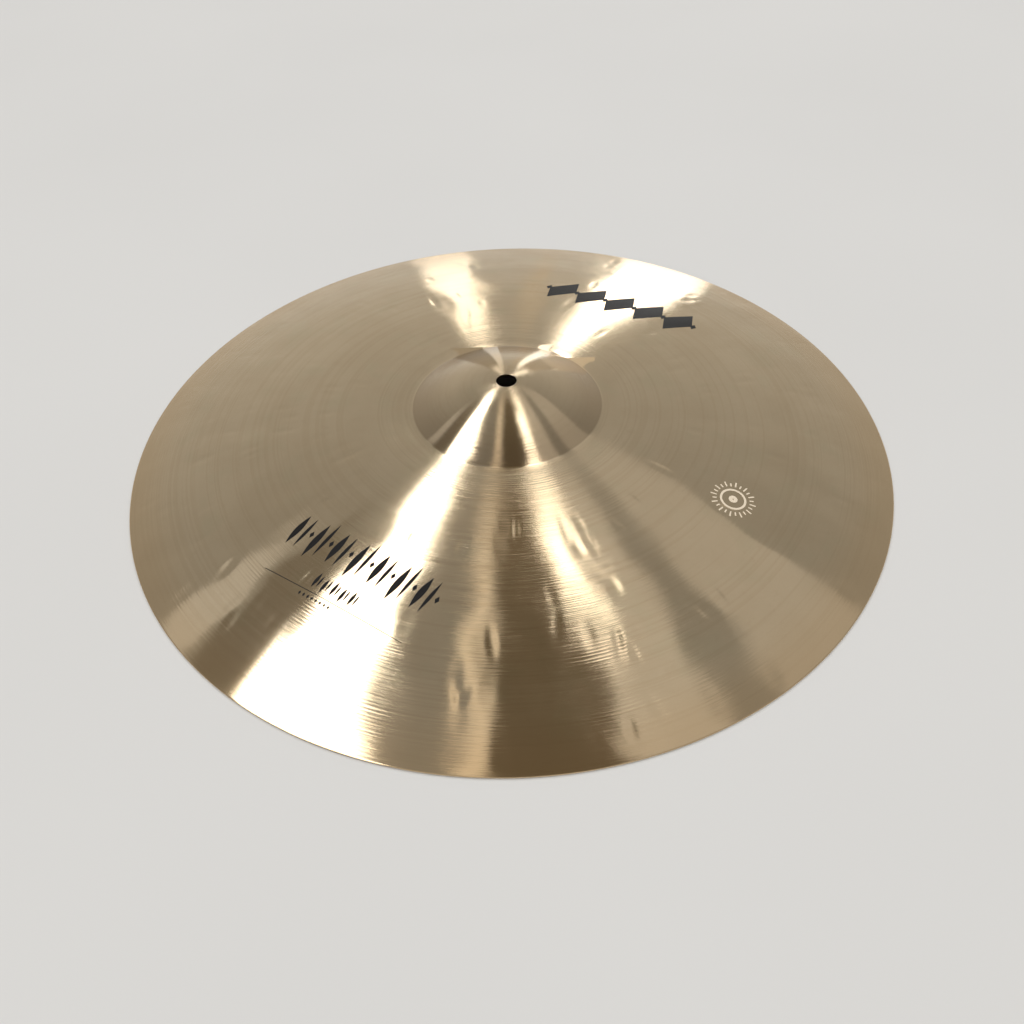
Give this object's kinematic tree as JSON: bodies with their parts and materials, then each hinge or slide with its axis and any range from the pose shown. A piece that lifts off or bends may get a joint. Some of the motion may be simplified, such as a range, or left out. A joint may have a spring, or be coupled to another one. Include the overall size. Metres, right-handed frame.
{
  "type": "crash cymbal",
  "caption": "Thin hand-hammered crash cymbal of lathed bell bronze, with a raised bell, a bowed body and a centre hole for a cymbal stand.",
  "frame": {"origin": "centre of the rim, on the plane that the rim rests on when the cymbal lies bell up", "axes": "+Z along the axis of the centre hole, from the open underside out through the bell; +X and +Y are any two directions across the disc, with the printed marks of the visual model placed from them"},
  "size_m": [0.4826, 0.4826, 0.0503],
  "materials": {
    "bell_bronze": "hand hammered and lathed, satin between the lathe lines",
    "printed_ink": "thin black screen-printed ink"
  },
  "bodies": {
    "root": {"cymbal": "bell_bronze"}
  },
  "joints": []
}
